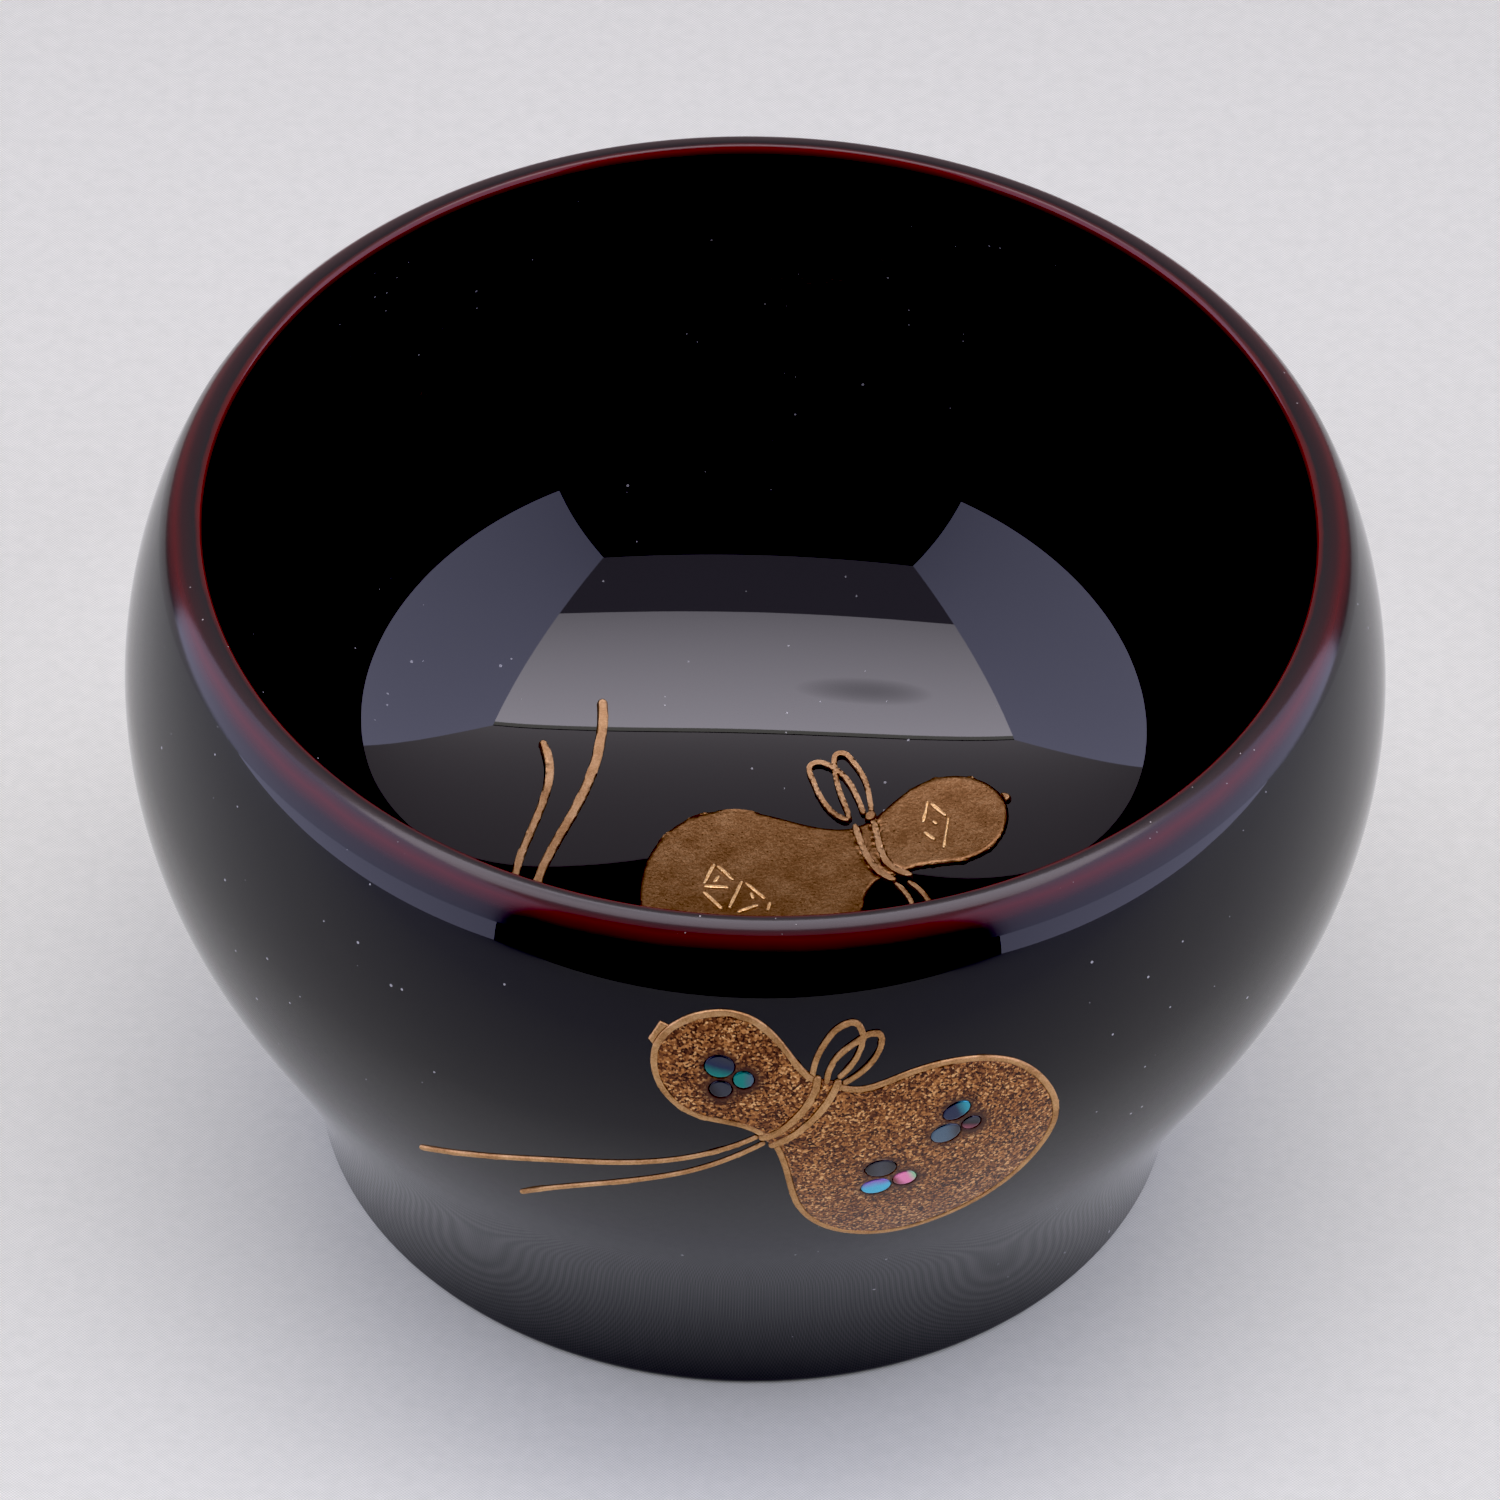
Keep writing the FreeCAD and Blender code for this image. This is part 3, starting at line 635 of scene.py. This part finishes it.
# Each piece: the direction its colours run in, in degrees from +x towards +z, and its colours.
shell_colours = {
    "shell_neck_end_large": (75, TEAL, NAVY, SLATE),
    "shell_neck_end_right": (0, TEAL, TEAL, GREY_BLUE),
    "shell_neck_end_lower": (20, NEAR_BLACK, SLATE, SLATE),
    "shell_shoulder_upper": (15, NAVY, NAVY, TEAL_BLUE),
    "shell_shoulder_lower": (0, GREY_BLUE, GREY_BLUE, SLATE),
    "shell_shoulder_right": (70, DARK_PINK, NEAR_BLACK, SLATE),
    "shell_base_upper": (0, NEAR_BLACK, SLATE, NEAR_BLACK),
    "shell_base_left": (100, BRIGHT_BLUE, BRIGHT_BLUE, VIOLET),
    "shell_base_right": (25, DARK_RED, PINK, PINK, GREEN_GREY),
}

# %% [markdown]
# ## Raised pieces
#
# The CAD nodes of the pictures are flat-topped plates with the right outlines. The real lines and
# fields are rounded, because the lacquer under the gold flows before it sets. So each piece starts
# from its CAD outline: the plate's top is cut into a fine grid, and every vertex is set down on the
# bowl's true surface at a height that rises from nothing at the outline to the full height inside.
# The outline is then closed with an underside that is sunk a little into the lacquer.

# %% Build a raised piece from a plate's outline
SUNK = 0.06
EDGE_SAMPLE = 0.05
SHELL_HALF_WIDTH = 1.25
EDGE_RINGS = 3

shell_tree = KDTree(len(shell_colours))
for index, node in enumerate(shell_colours):
    shell_low, shell_high = box_in_mm(node)
    shell_tree.insert((shell_low + shell_high) / 2, index)
shell_tree.balance()


def radius_and_height(place):
    return Vector((math.hypot(place.x, place.y), place.z))


def settle(place, section, lift):
    """The place set at that height straight out from its nearest point of the section."""
    flat = radius_and_height(place)
    walked, _ = section.foot_of(flat)
    target = section.place(walked, lift)
    turn = target.x / flat.x if flat.x > SAME_PLACE else 0.0
    return Vector((place.x * turn, place.y * turn, target.y))


def plate_top(node, section, middle_height):
    """The upper faces of a CAD plate, merged, in millimetres."""
    bm = bmesh.new()
    bm.from_mesh(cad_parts[node].data)
    bmesh.ops.scale(bm, vec=(1 / MM, 1 / MM, 1 / MM), verts=bm.verts)
    bmesh.ops.remove_doubles(bm, verts=bm.verts, dist=SAME_PLACE)
    low = set()
    for vert in bm.verts:
        if section.foot_of(radius_and_height(vert.co))[1] < middle_height:
            low.add(vert)
    under = [face for face in bm.faces if any(vert in low for vert in face.verts)]
    bmesh.ops.delete(bm, geom=under, context="FACES")
    return bm


def cut_into_grid(bm, axes, cell):
    for axis in axes:
        places = [vert.co[axis] for vert in bm.verts]
        normal = Vector((0, 0, 0))
        normal[axis] = 1.0
        first = math.floor(min(places) / cell) + 1
        last = math.ceil(max(places) / cell)
        for step in range(first, last):
            geometry = bm.verts[:] + bm.edges[:] + bm.faces[:]
            place = normal * (step * cell)
            bmesh.ops.bisect_plane(bm, geom=geometry, dist=SAME_PLACE, plane_co=place, plane_no=normal)


def outline_tree(bm):
    samples = []
    for edge in bm.edges:
        if edge.is_boundary:
            first, second = (vert.co for vert in edge.verts)
            count = max(1, math.ceil((second - first).length / EDGE_SAMPLE))
            samples += [first.lerp(second, step / count) for step in range(count)]
    tree = KDTree(len(samples))
    for index, place in enumerate(samples):
        tree.insert(place, index)
    tree.balance()
    return tree


def crown(share):
    """A quarter-round rise from 0 to 1."""
    return math.sqrt(max(0.0, 1 - (1 - min(share, 1.0)) ** 2))


def mark_vertices(bm, tree, middle, half_size):
    """Leaves on each vertex what the finishes read: distances, and its place in the piece."""
    layers = bm.verts.layers.float
    from_edge = layers.new("from_edge")
    from_shell = layers.new("from_shell")
    piece_x = layers.new("piece_x")
    piece_z = layers.new("piece_z")
    for vert in bm.verts:
        vert[from_edge] = tree.find(vert.co)[2]
        vert[from_shell] = shell_tree.find(vert.co)[2] - SHELL_HALF_WIDTH
        vert[piece_x] = (vert.co.x - middle.x) / half_size.x
        vert[piece_z] = (vert.co.z - middle.z) / half_size.z
    return from_edge


def raised_piece(name, node, section, base, top, rounding, cell, slot, material):
    axes = (0, 2) if section is wall_section else (0, 1)
    low, high = box_in_mm(node)
    bm = plate_top(node, section, (base + top) / 2)
    tree = outline_tree(bm)
    field = bm.faces[:]
    for _ in range(EDGE_RINGS):
        bmesh.ops.inset_region(
            bm, faces=field, thickness=rounding / EDGE_RINGS, use_boundary=True, use_even_offset=False,
        )
    cut_into_grid(bm, axes, cell)
    from_edge = mark_vertices(bm, tree, (low + high) / 2, (high - low) / 2)
    for vert in bm.verts:
        lift = base + (top - base) * crown(vert[from_edge] / rounding)
        vert.co = settle(vert.co, section, lift)
    under = bmesh.ops.extrude_face_region(bm, geom=bm.faces[:])
    for part in under["geom"]:
        if isinstance(part, bmesh.types.BMVert):
            part.co = settle(part.co, section, base - SUNK)
    bmesh.ops.recalc_face_normals(bm, faces=bm.faces)
    finished(bm, name, slot, material, node)


# %% [markdown]
# ## Heights and fineness
#
# Each kind of piece has its own height, as in the CAD model. Next to them are the width of its
# rounded edge and the size of its grid. Small pieces need the finer grid.

# %% Heights, as in the CAD model
OUTER_GROUND = 0.15
SHELL_INLAY = 0.18
OUTER_LINE = 0.22
OUTER_BAND = 0.27
INNER_GROUND = 0.40
INNER_LINE = 0.45
INNER_BAND = 0.60
CREST_LINE = 0.15

LINE_ROUNDING = 0.18      # how far in from its outline a piece goes on rising
GROUND_ROUNDING = 0.12
SHELL_ROUNDING = 0.24
INNER_GROUND_ROUNDING = 0.42
INNER_LINE_ROUNDING = 0.15
LINE_CELL = 0.25          # the grid that a piece's top is cut into
GROUND_CELL = 0.30
SHELL_CELL = 0.16
quality = 1.0
print("heights from", CREST_LINE, "to", INNER_BAND, "mm, grid coarser by", quality)

# %% [markdown]
# ## Outside lines
#
# Outlines, stem, bow, cord ends and the two neck turns are all brushed lines of one gold. The turns
# stand a little higher, because they cross over the other lines.

# %% The outside picture's lines
outer_lines = {
    "outer_gourd_small_outline": OUTER_LINE,
    "outer_gourd_large_outline": OUTER_LINE,
    "outer_gourd_stem": OUTER_LINE,
    "outer_bow": OUTER_LINE,
    "outer_cord_tail_upper": OUTER_LINE,
    "outer_cord_tail_lower": OUTER_LINE,
    "outer_neck_turn_upper": OUTER_BAND,
    "outer_neck_turn_lower": OUTER_BAND,
}
for node, height in outer_lines.items():
    raised_piece(
        node + "_gold", node, wall_section, 0.0, height, LINE_ROUNDING, LINE_CELL * quality,
        "gold_line", gold_line,
    )

# %% [markdown]
# ## Outside grounds
#
# The two bulbs and the neck between them are thin fields of flakes inside the outlines.

# %% The outside picture's flake grounds
for node in ("outer_gourd_small_ground", "outer_gourd_neck_ground", "outer_gourd_large_ground"):
    raised_piece(
        node + "_flakes", node, wall_section, 0.0, OUTER_GROUND, GROUND_ROUNDING, GROUND_CELL * quality,
        "gold_flake_ground", flakes.material,
    )

# %% [markdown]
# ## Shell pieces
#
# Nine cut pieces of shell lie in three groups of three. Their tops are rounded at the edge, as
# lacquer leaves them, and each gets its own run of colours.

# %% The shell pieces
for node, (run_angle, *colours) in shell_colours.items():
    raised_piece(
        node + "_inlay", node, wall_section, 0.0, SHELL_INLAY, SHELL_ROUNDING, SHELL_CELL * quality,
        "shell_inlay", shell(node + "_finish", run_angle, *colours),
    )

# %% [markdown]
# ## Inside picture
#
# The gourd on the floor is much thicker than the one outside. Its cord is laid over it, and the
# crests lie on top, so they start at the height of the ground.

# %% The inside picture
for node in ("inner_gourd_small", "inner_gourd_neck", "inner_gourd_large"):
    raised_piece(
        node + "_gold", node, inside_section, 0.0, INNER_GROUND, INNER_GROUND_ROUNDING, GROUND_CELL * quality,
        "raised_gold_ground", raised_gold.material,
    )
inner_lines = {
    "inner_gourd_stem": (0.0, INNER_LINE),
    "inner_bow": (0.0, INNER_LINE),
    "inner_cord_outer": (0.0, INNER_LINE),
    "inner_cord_inner": (0.0, INNER_LINE),
    "inner_knot": (0.0, INNER_BAND),
    "inner_neck_turn_left": (0.0, INNER_BAND),
    "inner_neck_turn_right": (0.0, INNER_BAND),
    "inner_crest_small_bulb": (INNER_GROUND, INNER_GROUND + CREST_LINE),
    "inner_crest_large_left": (INNER_GROUND, INNER_GROUND + CREST_LINE),
    "inner_crest_large_right": (INNER_GROUND, INNER_GROUND + CREST_LINE),
}
for node, (base, top) in inner_lines.items():
    # Lines inside take the darker copy, with its painted shade.
    material = crest_gold.material if "crest" in node else inner_line_painted_shade
    raised_piece(
        node + "_gold", node, inside_section, base, top, INNER_LINE_ROUNDING, LINE_CELL * quality,
        "gold_line", material,
    )

# %% [markdown]
# ## The wood
#
# The turned body is hidden under its coats. It keeps its CAD shape, and gets a plain brown wood
# with growth rings, so that it looks right if a coat is taken off.

# %% Wood
RINGS_PER_METRE = 260.0

wood = Finish("turned_wood_grain", Roughness=0.6)
across = wood.maths("MULTIPLY", wood.axis("X"), RINGS_PER_METRE)
waver = wood.maths("MULTIPLY", wood.noise(30.0, 3.0), 3.0)
rings = wood.maths("FRACT", wood.maths("ADD", across, waver))
wood.set("Base Color", wood.ramp(
    rings,
    (0.0, rgb(0.30, 0.17, 0.08)),
    (0.7, rgb(0.42, 0.26, 0.13)),
    (1.0, rgb(0.22, 0.12, 0.055)),
))
wood.set("Normal", wood.bump(wood.noise(1800.0, 3.0), 0.00005, 0.5))
wood_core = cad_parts["wood_core"]
wood_core.data.materials.clear()
wood_core.data.materials.append(wood.material)

# %% [markdown]
# ## Floor, light and camera
#
# A glossy black bowl shows its surroundings more than itself. It stands on a pale cloth inside a
# tent of white cloth: a bright ceiling, softer sides, a dim back and an open front.
#
# The cloth is a plane with a fine weave of two crossing sine waves. Its colour carries painted shade: it is
# lighter close to the bowl, darker further out and greyer to the front. That painted shade stands for the
# tent's uneven light; it is painted into the finish, not made by the light.

# %% Floor
FLOOR_HALF = 3.0
WEAVE_PITCH = 0.355 * MM

cloth = Finish("pale_cloth_floor", Roughness=0.9, Specular_IOR_Level=0.2)
threads = []
for name in ("X", "Y"):
    turn = cloth.maths("MULTIPLY", cloth.axis(name), 2 * math.pi / WEAVE_PITCH)
    threads.append(cloth.maths("SINE", turn))
weave = cloth.spread(cloth.maths("MULTIPLY", *threads), -1.0, 1.0)
weave = cloth.maths("MULTIPLY", weave, cloth.spread(cloth.noise(700.0, 3.0), 0.2, 0.8, 0.75, 1.25))
cloth_colour = cloth.mix(weave, rgb(0.60, 0.62, 0.52), rgb(0.86, 0.86, 0.74))
across = cloth.maths("MULTIPLY", cloth.axis("X"), cloth.axis("X"))
along = cloth.maths("MULTIPLY", cloth.axis("Y"), cloth.axis("Y"))
from_bowl = cloth.maths("SQRT", cloth.maths("ADD", across, along))
# Painted shade: the cloth darkens away from the bowl, standing for the tent's uneven light.
shade = cloth.spread(from_bowl, 0.050, 0.105, 0.0, 0.25)
cloth_colour = cloth.mix(shade, cloth_colour, rgb(0.0, 0.0, 0.0))
# Painted shade: the cloth turns greyer to the front, where the tent is open.
front_painted_shade = cloth.spread(cloth.axis("Y"), -0.075, -0.200)
cloth.set("Base Color", cloth.mix(front_painted_shade, cloth_colour, rgb(0.45, 0.46, 0.42)))

bm = bmesh.new()
bmesh.ops.create_grid(bm, x_segments=1, y_segments=1, size=FLOOR_HALF)
mesh = bpy.data.meshes.new("cloth_floor")
bm.to_mesh(mesh)
bm.free()
mesh.materials.append(cloth.material)
cloth_floor = bpy.data.objects.new("cloth_floor", mesh)
bpy.context.scene.collection.objects.link(cloth_floor)
print("floor", 2 * FLOOR_HALF, "m wide, weave", WEAVE_PITCH / MM, "mm")

# %% [markdown]
# ## Tent
#
# The tent is a few flat panels that give light. The lacquer mirrors them, which gives the bowl its
# long grey shapes, but the camera looks past them. Some fade from one end to the other.

# %% Tent panels
TENT_HALF_WIDTH = 0.410
TENT_HEIGHT = 0.800
TENT_BACK = 0.210
TENT_FRONT = -0.480
CEILING_FRONT = -0.186
CEILING_BACK = 0.198
HEM_GAP = 0.002
WHITE = 0.745


def glow(name, colour, strength, fade=None, smudge=None):
    """A light-giving material.

    fade is (axis, start, end, share at start, share at end); smudge is a soft darker spot,
    (x, y, half width, half depth, share of the light that it takes away).
    """
    light = Finish(name)
    light.tree.nodes.remove(light.shader)
    emission = light.tree.nodes.new("ShaderNodeEmission")
    emission.inputs["Color"].default_value = rgb(*colour)
    level = strength * WHITE
    if fade is None:
        emission.inputs["Strength"].default_value = level
    else:
        axis, start, end, from_share, to_share = fade
        brightness = light.spread(light.axis(axis), start, end, level * from_share, level * to_share)
        if smudge is not None:
            brightness = light.maths("MULTIPLY", brightness, light.spot(*smudge))
        light.feed(emission.inputs["Strength"], brightness)
    output = light.tree.nodes["Material Output"]
    light.tree.links.new(emission.outputs[0], output.inputs["Surface"])
    return light.material


def panel(name, corner, first_side, second_side, material):
    """A flat panel from a corner along two sides."""
    bm = bmesh.new()
    place = Matrix((
        (first_side[0], second_side[0], 0, corner[0] + (first_side[0] + second_side[0]) / 2),
        (first_side[1], second_side[1], 0, corner[1] + (first_side[1] + second_side[1]) / 2),
        (first_side[2], second_side[2], 1, corner[2] + (first_side[2] + second_side[2]) / 2),
        (0, 0, 0, 1),
    ))
    bmesh.ops.create_grid(bm, x_segments=1, y_segments=1, size=0.5, matrix=place)
    mesh = bpy.data.meshes.new(name)
    bm.to_mesh(mesh)
    bm.free()
    mesh.materials.append(material)
    shade = bpy.data.objects.new(name, mesh)
    bpy.context.scene.collection.objects.link(shade)
    shade.visible_camera = False
    print("panel", name)
    return shade


width = 2 * TENT_HALF_WIDTH
panel(
    "tent_ceiling", (-TENT_HALF_WIDTH, CEILING_FRONT, TENT_HEIGHT),
    (width, 0, 0), (0, CEILING_BACK - CEILING_FRONT, 0),
    glow(
        "ceiling_glow", (1.0, 0.945, 1.07), 5.3, ("Y", CEILING_FRONT, CEILING_BACK, 0.70, 1.35),
        (-0.162, 0.074, 0.110, 0.042, 0.38),
    ),
)
panel(
    "tent_hem", (-TENT_HALF_WIDTH, CEILING_BACK, TENT_HEIGHT),
    (width, 0, 0), (0, TENT_BACK - CEILING_BACK - HEM_GAP, 0), glow("hem_glow", (1.0, 0.98, 0.93), 2.2),
)
panel(
    "tent_ceiling_front", (-TENT_HALF_WIDTH, TENT_FRONT, TENT_HEIGHT),
    (width, 0, 0), (0, CEILING_FRONT - TENT_FRONT, 0), glow("ceiling_front_glow", (1.0, 0.95, 1.1), 0.95),
)
panel(
    "tent_back", (-TENT_HALF_WIDTH, TENT_BACK, 0),
    (width, 0, 0), (0, 0, TENT_HEIGHT),
    glow("back_glow", (1.0, 0.93, 1.0), 2.3, ("Z", 0.0, TENT_HEIGHT, 0.15, 1.0)),
)
for side, name in ((-1, "left"), (1, "right")):
    panel(
        "tent_" + name, (side * TENT_HALF_WIDTH, TENT_FRONT, 0),
        (0, TENT_BACK - TENT_FRONT, 0), (0, 0, TENT_HEIGHT),
        glow(name + "_glow", (0.92, 0.92, 1.28), 2.7, ("Y", TENT_FRONT, TENT_BACK, 0.75, 1.15)),
    )

# %% [markdown]
# ## Front fill
#
# The gold needs light from the front, but a lamp there would show as a bright patch in the black.
# So this panel is hidden from reflections, which a real lamp could not be.

# %% A soft fill from the front, which the gloss does not mirror
FILL_HALF_WIDTH = 0.300
FILL_HEIGHT = 0.300
fill = panel(
    "front_fill", (-FILL_HALF_WIDTH, TENT_FRONT, 0),
    (2 * FILL_HALF_WIDTH, 0, 0), (0, 0, FILL_HEIGHT), glow("fill_glow", (1.0, 0.98, 0.97), 1.6),
)
fill.visible_glossy = False

# %% [markdown]
# ## Room and view
#
# The room gives hardly any light, and is bright only where the camera sees past the floor. The
# Standard view keeps the plain contrast, and a raised black point lets the deepest tones go black.

# %% World
BLACK_POINT = 0.021
ROOM_LIGHT = 0.01
ROOM_TO_CAMERA = 0.9
world = bpy.data.worlds.new("studio")
world.use_nodes = True
bpy.context.scene.world = world
nodes = world.node_tree.nodes
nodes["Background"].inputs["Color"].default_value = rgb(0.8, 0.8, 0.82)
rays = nodes.new("ShaderNodeLightPath")
seen = nodes.new("ShaderNodeMapRange")
seen.inputs["To Min"].default_value = ROOM_LIGHT
seen.inputs["To Max"].default_value = ROOM_TO_CAMERA
world.node_tree.links.new(rays.outputs["Is Camera Ray"], seen.inputs["Value"])
world.node_tree.links.new(seen.outputs["Result"], nodes["Background"].inputs["Strength"])
view = bpy.context.scene.view_settings
view.view_transform = "Standard"
view.use_curve_mapping = True
view.curve_mapping.black_level = (BLACK_POINT, BLACK_POINT, BLACK_POINT)
view.curve_mapping.update()
print("black point", BLACK_POINT)

# %% [markdown]
# ## Camera
#
# A long lens from far away keeps the bowl almost free of perspective. It looks down at 44 degrees
# and is turned a little about its own line of sight.

# %% Camera
CAMERA_ELEVATION = math.radians(44.0)
CAMERA_DISTANCE = 2.4583
CAMERA_ROLL = math.radians(1.58)
SENSOR = 36.0
LENS = 595.9
AIM_RIGHT = -0.15 * MM
AIM_UP = 5.98 * MM
TARGET_SHARE = 0.4935     # the aimed-at height, as a share of the bowl's

target = Vector((0, 0, cad_low.z + TARGET_SHARE * (cad_high.z - cad_low.z)))
look = Vector((0, math.cos(CAMERA_ELEVATION), -math.sin(CAMERA_ELEVATION)))
level_right = Vector((1, 0, 0))
level_up = level_right.cross(look)
right = level_right * math.cos(CAMERA_ROLL) + level_up * math.sin(CAMERA_ROLL)
up = level_up * math.cos(CAMERA_ROLL) - level_right * math.sin(CAMERA_ROLL)
camera_place = target - look * CAMERA_DISTANCE
aim = target + right * AIM_RIGHT + up * AIM_UP
look = (aim - camera_place).normalized()
right = (right - look * right.dot(look)).normalized()
up = right.cross(look)

camera_data = bpy.data.cameras.new("camera")
camera_data.sensor_width = SENSOR
camera_data.lens = LENS
camera_data.clip_start = 0.1
camera_data.clip_end = 20.0
camera = bpy.data.objects.new("camera", camera_data)
bpy.context.scene.collection.objects.link(camera)
camera.matrix_world = Matrix((
    (right.x, up.x, -look.x, camera_place.x),
    (right.y, up.y, -look.y, camera_place.y),
    (right.z, up.z, -look.z, camera_place.z),
    (0, 0, 0, 1),
))
bpy.context.scene.camera = camera
print("camera", round(camera_place.length, 3), "m from the origin, lens", LENS)
